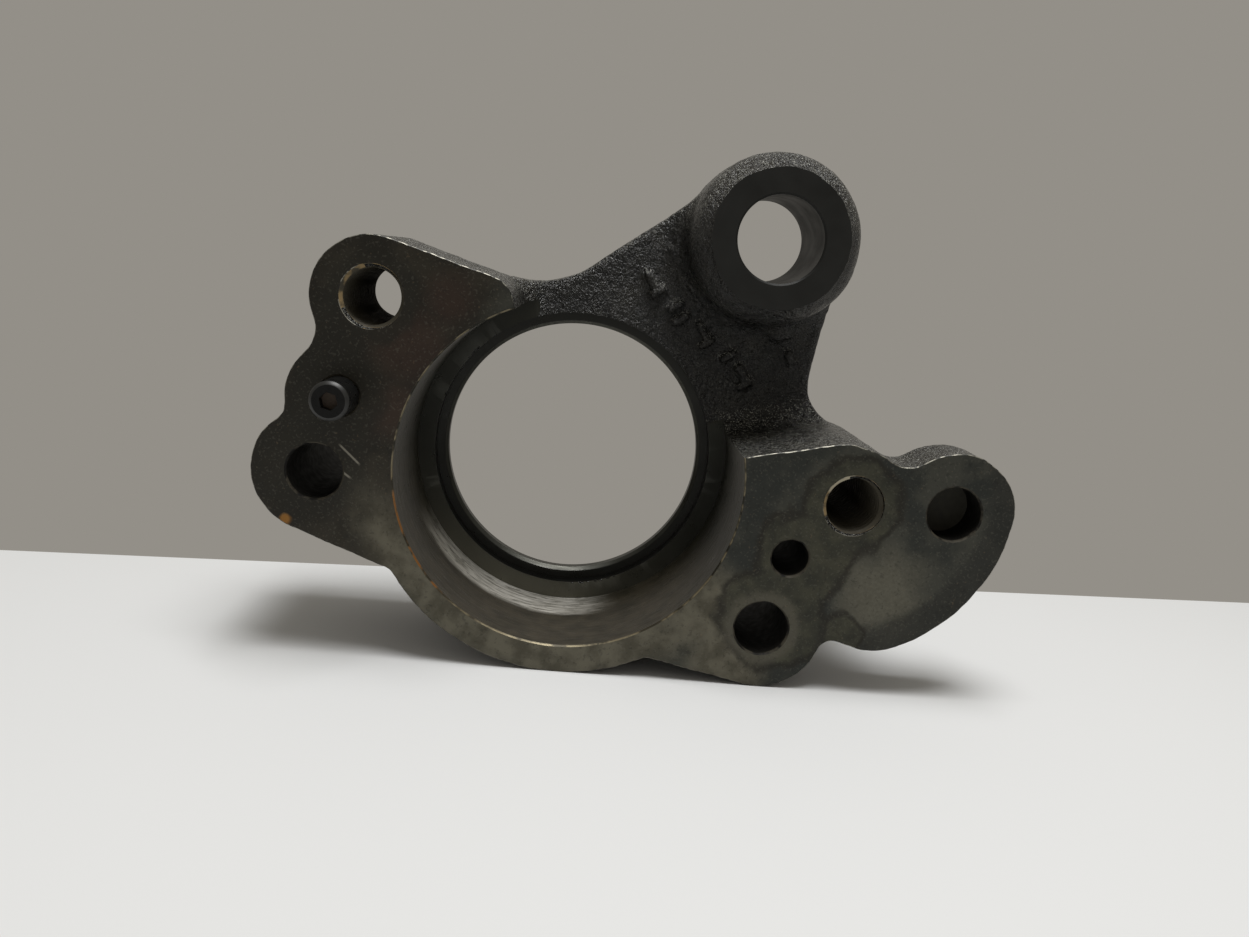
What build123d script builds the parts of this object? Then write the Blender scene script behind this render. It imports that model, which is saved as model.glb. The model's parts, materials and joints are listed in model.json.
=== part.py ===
"""Cast bearing housing with one locating pin.

Row frame: millimetres, +Z up, bearing axis along Y, front machined face at y = 0 looking along -Y.
The origin is the bearing axis on the front face. The part stands on the hub and on the lower right
boss, as it does on a bench, so its bolt layout is turned in the XZ plane by the standing angle.

Layout frame: u along the line through both dowels, v square to it. Every outline is drawn in it.
"""
import os
from math import asin, atan2, cos, degrees, hypot, radians, sin, tan

from build123d import *

os.makedirs("parts", exist_ok=True)

# ---- driving dimensions -------------------------------------------------------------------------
# bearing hub
hub_r = 64.0
hub_depth = 58.0
seat_r = 55.0
seat_depth = 48.5
relief_r = 49.0
relief_depth = 55.0
pilot_r = 45.0
seat_chamfer = 0.5
lip_chamfer = 1.2

# mounting lugs; both lower bolt bosses and the right dowel boss are as deep as the hub
lug_depth = 50.0
dowel_u = 75.0
dowel_boss_r = 16.5
lower_bolt_v = -25.0
left_bolt_boss_r = 19.5
right_bolt_boss_r = 20.0
foot_rise = 16.0
left_tap_v = 32.0
left_tap_boss_r = 18.4
right_tap = (87.5, 22.8)
right_tap_boss_r = 18.2
upper_valley_r = 11.0
lower_valley_r = 6.0
lug_root_u = 43.5
lug_root_v = -47.0
spot_face_r = 15.0
spot_face_cut = 0.6

# thin outer lobe of the right pad, with a blind hole
lobe_depth = 20.0
lobe_hole = (118.8, 31.4)
lobe_r = 19.5
lobe_toe = (106.0, -2.0)
lobe_toe_r = 19.0
lobe_flank_r = 56.0
lobe_foot_blend_r = 5.0
lobe_neck_blend_r = 10.0
blind_depth = 13.5

# holes
tap_r = 8.65
tap_chamfer = 1.15
bolt_r = 8.75
dowel_r = 6.0
hole_chamfer = 0.5

# window cut down to the web
window_edge_point = (48.2, 24.7)
window_edge_angle = 28.2
window_corner_r = 7.0
pad_end_r = 9.0
pad_end_u = -33.5
floor_blend_r = 10.0

# ear: thin web plate with the eye boss
ear_side_angle = 52.7
ear_side_u = -25.9
ear_side_blend_r = 33.0
ear_neck_flare = 6.0
ear_neck_blend_r = 19.0
eye_reach = 100.0
eye_angle = 67.9
eye_r = 14.0
eye_face_depth = 19.0
eye_face_r = 21.5
eye_boss_r = 28.0
eye_nose_depth = 12.0
eye_chamfer = 0.5

# locating pin
pin_proud = 13.0
pin_seated = 24.0
pin_chamfer = 0.7
pin_groove_w = 1.2
pin_groove_d = 0.4
pin_groove_back = 3.2
pin_socket_af = 5.0
pin_socket_depth = 3.0

# ---- worked-out places --------------------------------------------------------------------------
left_tap = (-dowel_u, left_tap_v)
left_bolt = (-dowel_u, lower_bolt_v)
left_dowel = (-dowel_u, 0)
right_bolt = (dowel_u, lower_bolt_v)
right_dowel = (dowel_u, 0)
eye = (eye_reach * cos(radians(eye_angle)), eye_reach * sin(radians(eye_angle)))
top_v = left_tap_v + left_tap_boss_r
pad_end_centre = (pad_end_u - pad_end_r, top_v - pad_end_r)
right_top_v = right_tap[1] + right_tap_boss_r
window_slope = tan(radians(window_edge_angle))
window_corner_u = window_edge_point[0] + (right_top_v - window_edge_point[1]) / window_slope

# the ear's right side flares out from the eye boss; its blend ends before the tapped boss
ear_neck_u = eye[0] + eye_boss_r + ear_neck_flare
neck_blend_r = min(ear_neck_blend_r, right_tap[0] - ear_neck_u)

# the ear's slanted side, carried to its closest point to the eye
side_u, side_v = cos(radians(ear_side_angle)), sin(radians(ear_side_angle))
side_reach = (eye[0] - ear_side_u) * side_u + (eye[1] - top_v) * side_v
ear_shoulder = (ear_side_u + side_reach * side_u, top_v + side_reach * side_v)

# the bench touches the hub and the lower right boss: their common tangent is level
standing = degrees(
    asin((hub_r - right_bolt_boss_r) / hypot(*right_bolt)) + atan2(lower_bolt_v, dowel_u)
)
face_plane = Plane(
    origin=(0, 0, 0),
    x_dir=(cos(radians(standing)), 0, -sin(radians(standing))),
    z_dir=(0, -1, 0),
)


def at_depth(depth):
    """Sketch plane square to the bearing axis, depth mm behind the front face."""
    return face_plane.offset(-depth)


def crossing(centre_a, radius_a, centre_b, radius_b):
    """The left-hand crossing of two circles, looking from a to b."""
    du, dv = centre_b[0] - centre_a[0], centre_b[1] - centre_a[1]
    gap = hypot(du, dv)
    along = (gap**2 + radius_a**2 - radius_b**2) / (2 * gap)
    off = (radius_a**2 - along**2) ** 0.5
    return (
        centre_a[0] + (along * du - off * dv) / gap,
        centre_a[1] + (along * dv + off * du) / gap,
    )


def section_at(place):
    """Half-section plane of a round feature at place: x is the radius, y the depth."""
    return Plane(
        origin=face_plane.from_local_coords((place[0], place[1], 0)),
        x_dir=face_plane.x_dir,
        z_dir=face_plane.y_dir,
    )


def turn(place, *outline, mode=Mode.SUBTRACT):
    """Turn a solid, or cut, from its (radius, depth) outline about the axis at place."""
    section = section_at(place)
    with BuildSketch(section) as half:
        Polygon(*outline, align=None)
    revolve(half.sketch, axis=Axis(section.origin, section.y_dir), mode=mode)


def drill(place, radius, chamfer_w, mouth, bottom):
    """Drill a hole from depth mouth to depth bottom, its mouth chamfered at 45 degrees."""
    turn(
        place,
        (0, mouth - 1),
        (radius + chamfer_w + 1, mouth - 1),
        (radius, mouth + chamfer_w),
        (radius, bottom),
        (0, bottom),
    )


def foot_blend(plane):
    """Section of the concave blend where a wall stands on the web: x off the wall, y down to it."""
    with BuildSketch(plane) as section:
        with Locations((0, lug_depth)):
            Rectangle(floor_blend_r, floor_blend_r, align=(Align.MIN, Align.MAX))
        with Locations((floor_blend_r, lug_depth - floor_blend_r)):
            Circle(floor_blend_r, mode=Mode.SUBTRACT)
    return section.sketch


def nearest(sketch, u, v):
    """The sketch corner nearest to (u, v)."""
    return sketch.vertices().sort_by_distance((u, v, 0))[0]


# ---- housing ------------------------------------------------------------------------------------
flank_centre = crossing(
    lobe_toe, lobe_flank_r - lobe_toe_r, lobe_hole, lobe_flank_r - lobe_r
)


def beyond(centre):
    """A point outside the flank arc, on the ray from the flank's centre through centre."""
    return tuple(f + 2 * (c - f) for f, c in zip(flank_centre, centre))


# outline of the ear plate behind the window, and of the boss behind the right tapped hole
with BuildSketch(at_depth(lug_depth)) as ear:
    with Locations(eye):
        Circle(eye_boss_r)
    with Locations(right_tap):
        Circle(right_tap_boss_r)
    Polygon(
        (0, 0),
        (pad_end_centre[0], top_v),
        (ear_side_u, top_v),
        ear_shoulder,
        eye,
        (eye[0] + eye_boss_r, eye[1]),
        (ear_neck_u, right_top_v),
        (right_tap[0], right_top_v),
        right_tap,
        (right_dowel[0], right_tap[1] / 2),
        align=None,
    )
    fillet(nearest(ear, ear_side_u, top_v), ear_side_blend_r)
    fillet(nearest(ear, *ear_shoulder), eye_boss_r)
    fillet(nearest(ear, ear_neck_u, right_top_v), neck_blend_r)

# concave blends at the foot of both window walls and of the eye boss, kept on the ear
wall_angle = radians(window_edge_angle)
wall_foot = Plane(
    origin=face_plane.from_local_coords((window_edge_point[0], window_edge_point[1], 0)),
    x_dir=(face_plane.y_dir * cos(wall_angle) - face_plane.x_dir * sin(wall_angle)),
    z_dir=-(face_plane.x_dir * cos(wall_angle) + face_plane.y_dir * sin(wall_angle)),
)
with BuildPart() as feet:
    extrude(foot_blend(wall_foot), amount=hub_r, both=True)
    for centre, radius in ((pad_end_centre, pad_end_r), (eye, eye_boss_r)):
        section = section_at(centre)
        wall = Plane(section.origin + section.x_dir * radius, section.x_dir, section.z_dir)
        revolve(foot_blend(wall), axis=Axis(section.origin, section.y_dir))
    extrude(ear.sketch, amount=floor_blend_r, mode=Mode.INTERSECT)

with BuildPart() as housing:
    # hub, flat on top where the ear's neck starts, with bosses as deep round both lower bolts
    # and the right dowel
    with BuildSketch(face_plane):
        Circle(hub_r)
        with Locations((0, top_v)):
            Rectangle(2 * hub_r, hub_r, align=(Align.CENTER, Align.MIN), mode=Mode.SUBTRACT)
        for side, radius in ((-1, left_bolt_boss_r), (1, right_bolt_boss_r)):
            with Locations((side * dowel_u, lower_bolt_v)):
                Circle(radius)
            Polygon(
                (0, 0),
                (side * dowel_u, lower_bolt_v + foot_rise),
                (side * dowel_u, lower_bolt_v - radius),
                (side * lug_root_u, lug_root_v),
                align=None,
            )
        with Locations(right_dowel):
            Circle(dowel_boss_r)
    extrude(amount=-hub_depth)

    # left lug
    with BuildSketch(face_plane) as left_lug:
        for place, radius in (
            (left_tap, left_tap_boss_r),
            (left_dowel, dowel_boss_r),
            (left_bolt, left_bolt_boss_r),
        ):
            with Locations(place):
                Circle(radius)
        Polygon(
            (-dowel_u, top_v),
            (pad_end_u, top_v),
            (-hub_r / 2, 0),
            (-lug_root_u, lug_root_v),
            (-dowel_u, lower_bolt_v - left_bolt_boss_r),
            align=None,
        )
        valleys = left_lug.vertices().filter_by(lambda v: v.X < -dowel_u - 2)
        fillet(valleys.sort_by(Axis.Y)[-1], upper_valley_r)
        valleys = left_lug.vertices().filter_by(lambda v: v.X < -dowel_u - 2 and v.Y < 0)
        fillet(valleys.sort_by(Axis.Y)[-1], lower_valley_r)
    extrude(amount=-lug_depth)

    # right pad: three full-depth bosses
    with BuildSketch(face_plane) as right_pad:
        for place, radius in (
            (right_tap, right_tap_boss_r),
            (right_dowel, dowel_boss_r),
            (right_bolt, right_bolt_boss_r),
        ):
            with Locations(place):
                Circle(radius)
        Polygon(
            (0, 0),
            window_edge_point,
            (window_corner_u, right_top_v),
            (right_tap[0], right_top_v),
            right_tap,
            right_dowel,
            right_bolt,
            (dowel_u, lower_bolt_v - right_bolt_boss_r),
            (lug_root_u, lug_root_v),
            align=None,
        )
        valleys = right_pad.vertices().filter_by(lambda v: v.X > dowel_u + 8 and abs(v.Y) < 20)
        fillet(valleys, lower_valley_r)
        fillet(nearest(right_pad, window_corner_u, right_top_v), window_corner_r)
    extrude(amount=-lug_depth)

    # outer lobe
    with BuildSketch(face_plane) as lobe:
        with Locations(lobe_hole):
            Circle(lobe_r)
        with Locations(lobe_toe):
            Circle(lobe_toe_r)
        with BuildSketch(mode=Mode.PRIVATE) as flank:
            with Locations(flank_centre):
                Circle(lobe_flank_r)
            Polygon(
                flank_centre,
                beyond(lobe_toe),
                beyond(lobe_hole),
                align=None,
                mode=Mode.INTERSECT,
            )
        add(flank.sketch)
        with Locations(right_tap):
            Circle(right_tap_boss_r)
        with Locations(right_bolt):
            Circle(right_bolt_boss_r)
        Polygon(
            right_tap,
            lobe_hole,
            lobe_toe,
            (lobe_toe[0], lobe_toe[1] - lobe_toe_r),
            (right_bolt[0], lobe_toe[1] - lobe_toe_r),
            align=None,
        )
        upper_valley = lobe.vertices().filter_by(
            lambda v: right_tap[0] < v.X < lobe_hole[0] and v.Y > right_tap[1]
        )
        fillet(upper_valley, lobe_neck_blend_r)
        lower_valley = lobe.vertices().filter_by(
            lambda v: v.X < lobe_toe[0] - 1 and lobe_toe[1] - lobe_toe_r - 1 < v.Y < 0
        ).sort_by(Axis.X)[-1]
        fillet(lower_valley, lobe_foot_blend_r)
    extrude(amount=-lobe_depth)

    # window: clears the hub wall down to the web between the two pads
    with BuildSketch(face_plane) as window:
        Polygon(
            (pad_end_centre[0], top_v),
            (pad_end_centre[0], hub_r + pad_end_r),
            (window_corner_u, hub_r + pad_end_r),
            (window_corner_u, right_top_v),
            (0, window_edge_point[1] - window_edge_point[0] * window_slope),
            (pad_end_centre[0], 0),
            align=None,
        )
        with Locations(pad_end_centre):
            Circle(pad_end_r, mode=Mode.SUBTRACT)
    extrude(amount=-lug_depth, mode=Mode.SUBTRACT)

    extrude(ear.sketch, amount=lug_depth - hub_depth)

    # eye boss: round nose in front of the plate
    eye_section = section_at(eye)
    with BuildSketch(eye_section):
        with BuildLine():
            nose = TangentArc(
                (eye_boss_r, eye_face_depth + eye_nose_depth),
                (eye_face_r, eye_face_depth),
                tangent=(0, -1),
            )
            Polyline(nose @ 1, (0, eye_face_depth), (0, hub_depth), (eye_boss_r, hub_depth), nose @ 0)
        make_face()
    revolve(axis=Axis(eye_section.origin, eye_section.y_dir))
    add(feet.part)

    # stepped bearing bore and the eye
    turn(
        (0, 0),
        (0, -1),
        (seat_r + seat_chamfer + 1, -1),
        (seat_r, seat_chamfer),
        (seat_r, seat_depth),
        (relief_r, seat_depth),
        (relief_r, relief_depth - lip_chamfer),
        (pilot_r + lip_chamfer, relief_depth - lip_chamfer),
        (pilot_r, relief_depth),
        (pilot_r, hub_depth + 1),
        (0, hub_depth + 1),
    )
    drill(eye, eye_r, eye_chamfer, eye_face_depth, hub_depth + 1)

    # bolt, tapped, dowel and blind holes
    drill(left_tap, tap_r, tap_chamfer, 0, lug_depth + 1)
    drill(right_tap, tap_r, tap_chamfer, 0, hub_depth + 1)
    for place in (left_bolt, right_bolt):
        drill(place, bolt_r, hole_chamfer, 0, hub_depth + 1)
    for place in (left_dowel, right_dowel):
        drill(place, dowel_r, hole_chamfer, 0, hub_depth + 1)
    drill(lobe_hole, bolt_r, hole_chamfer, 0, blind_depth)

    # rear spot faces for the bolt heads
    for place in (left_bolt, right_bolt):
        turn(
            place,
            (0, hub_depth - spot_face_cut),
            (spot_face_r, hub_depth - spot_face_cut),
            (spot_face_r, hub_depth + 1),
            (0, hub_depth + 1),
        )
housing.part.label = "housing"
export_step(housing.part, "parts/housing.step")

# ---- locating pin -------------------------------------------------------------------------------
groove_top = -pin_proud + pin_groove_back
with BuildPart() as locating_pin:
    turn(
        left_dowel,
        (0, -pin_proud),
        (dowel_r - pin_chamfer, -pin_proud),
        (dowel_r, -pin_proud + pin_chamfer),
        (dowel_r, groove_top),
        (dowel_r - pin_groove_d, groove_top),
        (dowel_r - pin_groove_d, groove_top + pin_groove_w),
        (dowel_r, groove_top + pin_groove_w),
        (dowel_r, pin_seated - pin_chamfer),
        (dowel_r - pin_chamfer, pin_seated),
        (0, pin_seated),
        mode=Mode.ADD,
    )
    with BuildSketch(at_depth(-pin_proud)):
        with Locations(left_dowel):
            RegularPolygon(pin_socket_af / 2, 6, major_radius=False)
    extrude(amount=-pin_socket_depth, mode=Mode.SUBTRACT)
locating_pin.part.label = "locating_pin"
export_step(locating_pin.part, "parts/locating_pin.step")
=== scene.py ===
"""Used bearing housing with its locating pin, standing on a pale bench."""
import json
import logging
import math
from dataclasses import dataclass, field
from enum import IntEnum
from functools import reduce
from typing import Callable, Iterable

import bmesh
import bpy
import numpy as np
from mathutils import Matrix, Vector, noise


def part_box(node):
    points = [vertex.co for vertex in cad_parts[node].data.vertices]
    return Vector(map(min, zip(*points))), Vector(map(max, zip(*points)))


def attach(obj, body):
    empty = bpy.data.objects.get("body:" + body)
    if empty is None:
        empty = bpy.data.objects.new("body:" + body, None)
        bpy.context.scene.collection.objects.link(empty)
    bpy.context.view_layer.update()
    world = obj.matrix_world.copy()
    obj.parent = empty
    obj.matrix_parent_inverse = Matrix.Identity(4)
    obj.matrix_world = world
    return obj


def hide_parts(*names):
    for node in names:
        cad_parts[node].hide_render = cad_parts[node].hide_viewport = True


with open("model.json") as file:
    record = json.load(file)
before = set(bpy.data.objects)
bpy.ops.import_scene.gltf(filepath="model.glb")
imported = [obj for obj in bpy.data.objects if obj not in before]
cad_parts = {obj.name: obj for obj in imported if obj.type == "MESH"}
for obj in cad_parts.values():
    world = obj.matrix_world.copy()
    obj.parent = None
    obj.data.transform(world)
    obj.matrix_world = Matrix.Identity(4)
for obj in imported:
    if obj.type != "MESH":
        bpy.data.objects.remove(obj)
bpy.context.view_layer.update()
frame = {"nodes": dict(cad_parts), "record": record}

MM = 0.001
log = logging.getLogger("bearing_housing")

Outline = list[tuple[float, float]]


class Skin(IntEnum):
    """Which finish each polygon of the housing wears; the value is its material slot."""

    CAST = 0
    FACE = 1
    SEAT = 2
    HOLE = 3
    EYE = 4
    EDGE = 5
    BACK = 6


# ---- where things are ---------------------------------------------------------------------------


@dataclass(frozen=True)
class Layout:
    """The bolt layout, in millimetres, turned about the bearing axis by the standing angle.

    u runs through both dowels, v is square to it, and depth goes in from the front face.
    """

    standing: float

    @classmethod
    def from_record(cls) -> "Layout":
        """Read the standing angle from the place of the right dowel hole.

        Returns:
            The layout of this part.
        """
        dowel = mount("right_dowel_hole")["pos_m"]
        return cls(math.atan2(-dowel[2], dowel[0]))

    def world(self, u: float, v: float, depth: float) -> Vector:
        """Turn a layout place into a point of the row frame.

        Args:
            u: Along the dowel line.
            v: Square to it, upwards.
            depth: Behind the front face.

        Returns:
            The point, in metres.
        """
        c, s = math.cos(self.standing), math.sin(self.standing)
        return Vector((u * c + v * s, depth, v * c - u * s)) * MM

    def place(self, name: str) -> tuple[float, float]:
        """Give a mount's place on the layout.

        Args:
            name: The mount's name in the record.

        Returns:
            Its u and v.
        """
        x, _, z = mount(name)["pos_m"]
        c, s = math.cos(self.standing), math.sin(self.standing)
        return (x * c - z * s) / MM, (x * s + z * c) / MM

    def plan(self, points: np.ndarray) -> np.ndarray:
        """Turn row-frame points into u, v, depth.

        Args:
            points: An array of points, in metres.

        Returns:
            The same points on the layout, in millimetres.
        """
        c, s = math.cos(self.standing), math.sin(self.standing)
        x, y, z = points.T / MM
        return np.stack((x * c - z * s, x * s + z * c, y), 1)


def mount(name: str) -> dict:
    """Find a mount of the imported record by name."""
    return next(m for m in frame["record"]["mounts"] if m["name"] == name)


def radius_of(name: str) -> float:
    """Give a round mount's radius, in millimetres."""
    return mount(name)["dims"]["r_mm"]


# ---- mesh work ----------------------------------------------------------------------------------


def new_object(name: str, mesh: bpy.types.Mesh) -> bpy.types.Object:
    """Link a new object.

    Args:
        name: What it is called.
        mesh: What it shows.

    Returns:
        The object, in the scene.
    """
    item = bpy.data.objects.new(name, mesh)
    bpy.context.scene.collection.objects.link(item)
    return item


def settle(item: bpy.types.Object) -> bpy.types.Object:
    """Apply an object's modifiers to its mesh.

    Args:
        item: The object to settle.

    Returns:
        The same object, with no modifiers left.
    """
    bpy.context.view_layer.update()
    shown = item.evaluated_get(bpy.context.evaluated_depsgraph_get())
    finished = bpy.data.meshes.new_from_object(shown)
    item.modifiers.clear()
    item.data = finished
    return item


def points_of(mesh: bpy.types.Mesh) -> np.ndarray:
    """Read a mesh's vertex places.

    Args:
        mesh: The mesh.

    Returns:
        One row for each vertex.
    """
    flat = np.empty(len(mesh.vertices) * 3, np.float32)
    mesh.vertices.foreach_get("co", flat)
    return flat.reshape(-1, 3).astype(float)


def put_points(mesh: bpy.types.Mesh, points: np.ndarray) -> None:
    """Write vertex places back to a mesh."""
    mesh.vertices.foreach_set("co", points.astype(np.float32).ravel())
    mesh.update()


@dataclass
class Turning:
    """A turned shape: an outline of (radius, depth) spun about the axis at one place of the layout.

    Its outline starts and ends on the axis. A thread, where there is one, is a true helix that waves
    the radius between the outline and the thread's major radius.
    """

    name: str
    at: tuple[float, float]
    outline: Outline
    finish: Skin = Skin.HOLE
    facets: int = 96
    pitch: float = 0.0
    major: float = 0.0
    steps_per_turn: int = 6
    tooth_slope: float = 2.6

    def rings(self) -> Outline:
        """Split the threaded stretch of the outline finely enough for its helix.

        Returns:
            The outline's points, with more of them along a thread.
        """
        if not self.pitch:
            return self.outline
        finer: Outline = [self.outline[0]]
        for (r0, d0), (r1, d1) in zip(self.outline, self.outline[1:]):
            turns = abs(d1 - d0) / self.pitch
            count = max(1, round(turns * self.steps_per_turn)) if r0 == r1 and turns > 1 else 1
            finer += [(r0 + (r1 - r0) * i / count, d0 + (d1 - d0) * i / count)
                      for i in range(1, count + 1)]
        return finer

    def radius(self, r: float, depth: float, angle: float) -> float:
        """Give the wall's radius at a depth and an angle, thread included.

        Args:
            r: The outline's radius there.
            depth: How deep.
            angle: Round the axis, in radians.

        Returns:
            The radius, in millimetres.
        """
        if not self.pitch or r <= 0 or r > self.major:
            return r
        phase = (depth / self.pitch - angle / math.tau) % 1.0
        tooth = max(0.0, 1.0 - abs(phase - 0.5) * self.tooth_slope)
        return r + (self.major - r) * tooth

    def build(self, layout: Layout) -> bpy.types.Object:
        """Make the closed solid.

        Args:
            layout: Where the part's places are.

        Returns:
            The new object.
        """
        shape = bmesh.new()
        rows: list[list[bmesh.types.BMVert]] = []
        for r, depth in self.rings():
            row = []
            for i in range(self.facets if r > 0 else 1):
                angle = math.tau * i / self.facets
                reach = self.radius(r, depth, angle)
                u, v = self.at[0] + reach * math.cos(angle), self.at[1] + reach * math.sin(angle)
                row.append(shape.verts.new(layout.world(u, v, depth)))
            rows.append(row)
        for near, far in zip(rows, rows[1:]):
            for i in range(self.facets):
                j = (i + 1) % self.facets
                if len(near) == 1:
                    shape.faces.new((near[0], far[i], far[j]))
                elif len(far) == 1:
                    shape.faces.new((near[i], far[0], near[j]))
                else:
                    shape.faces.new((near[i], far[i], far[j], near[j]))
        bmesh.ops.recalc_face_normals(shape, faces=shape.faces)
        mesh = bpy.data.meshes.new(self.name)
        shape.to_mesh(mesh)
        shape.free()
        return new_object(self.name, mesh)

    def wears(self, plan: np.ndarray, near: float = 0.06) -> np.ndarray:
        """Find which points lie on the turned wall.

        Args:
            plan: Points on the layout.
            near: How close counts, in millimetres.

        Returns:
            A flag for each point.
        """
        r = np.hypot(plan[:, 0] - self.at[0], plan[:, 1] - self.at[1])
        on_wall = np.zeros(len(plan), bool)
        for (r0, d0), (r1, d1) in zip(self.outline, self.outline[1:]):
            along = np.array((r1 - r0, d1 - d0))
            length = max(float(along @ along), 1e-9)
            t = np.clip(((r - r0) * along[0] + (plan[:, 2] - d0) * along[1]) / length, 0, 1)
            gap = np.hypot(r0 + t * along[0] - r, d0 + t * along[1] - plan[:, 2])
            on_wall |= gap < near
            if self.pitch and r0 == r1:
                in_thread = (plan[:, 2] > d0) & (plan[:, 2] < d1)
                on_wall |= in_thread & (r > r0 - near) & (r < self.major + near)
        return on_wall


def drilled(name: str, at: tuple[float, float], radius: float, mouth: float, bottom: float,
            chamfer: float = 0.5, **rest: object) -> Turning:
    """Describe a drilled hole with a 45 degree chamfer at its mouth.

    Args:
        name: What the hole is called.
        at: Its place on the layout.
        radius: The wall's radius.
        mouth: Depth of the face it is drilled from.
        bottom: Depth where it ends.
        chamfer: Width of the chamfer.
        **rest: Any other field of the turning.

    Returns:
        The turned cutter.
    """
    clear = 5
    outline = [(0, mouth - clear), (radius + chamfer + clear, mouth - clear), (radius + chamfer, mouth),
               (radius, mouth + chamfer), (radius, bottom), (0, bottom)]
    return Turning(name, at, outline, **rest)


# ---- the housing --------------------------------------------------------------------------------

# how far from each hole's axis its wall and chamfer reach, in millimetres
WALL_REACH = {
    "left_tapped_hole": 10.2, "right_tapped_hole": 10.2, "right_dowel_hole": 6.8,
    "lobe_blind_hole": 9.6, "locating_pin_end": 6.8, "eye_bore": 14.9,
}
BOLT_WALL_REACH = 9.6


def bolt_places(layout: Layout) -> list[tuple[float, float]]:
    """Find the lower bolt holes.

    Args:
        layout: Where the part's places are.

    Returns:
        The places of the left and the right one.
    """
    u, v = layout.place("lower_bolts")
    half = mount("lower_bolts")["dims"]["pcd_mm"] / 2
    return [(u - half, v), (u + half, v)]


@dataclass(frozen=True)
class Mark:
    """One raised bar or pip cast on the web: its place on the layout, length and lean in degrees."""

    at: tuple[float, float]
    length: float
    lean: float


MARKS = (
    Mark((9.0, 79.0), 4.0, 50.0),
    Mark((4.5, 66.5), 5.5, -40.0), Mark((8.5, 63.0), 5.5, 50.0),
    Mark((16.0, 60.5), 6.0, 50.0), Mark((19.5, 57.0), 6.0, 50.0),
    Mark((27.5, 56.5), 5.5, -40.0), Mark((31.0, 52.5), 6.0, 50.0),
    Mark((40.0, 51.0), 6.0, 50.0), Mark((46.0, 47.5), 5.5, -40.0), Mark((49.0, 43.5), 6.0, 50.0),
    Mark((55.0, 64.0), 7.0, 35.0), Mark((60.5, 58.0), 5.0, -55.0),
)

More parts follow.
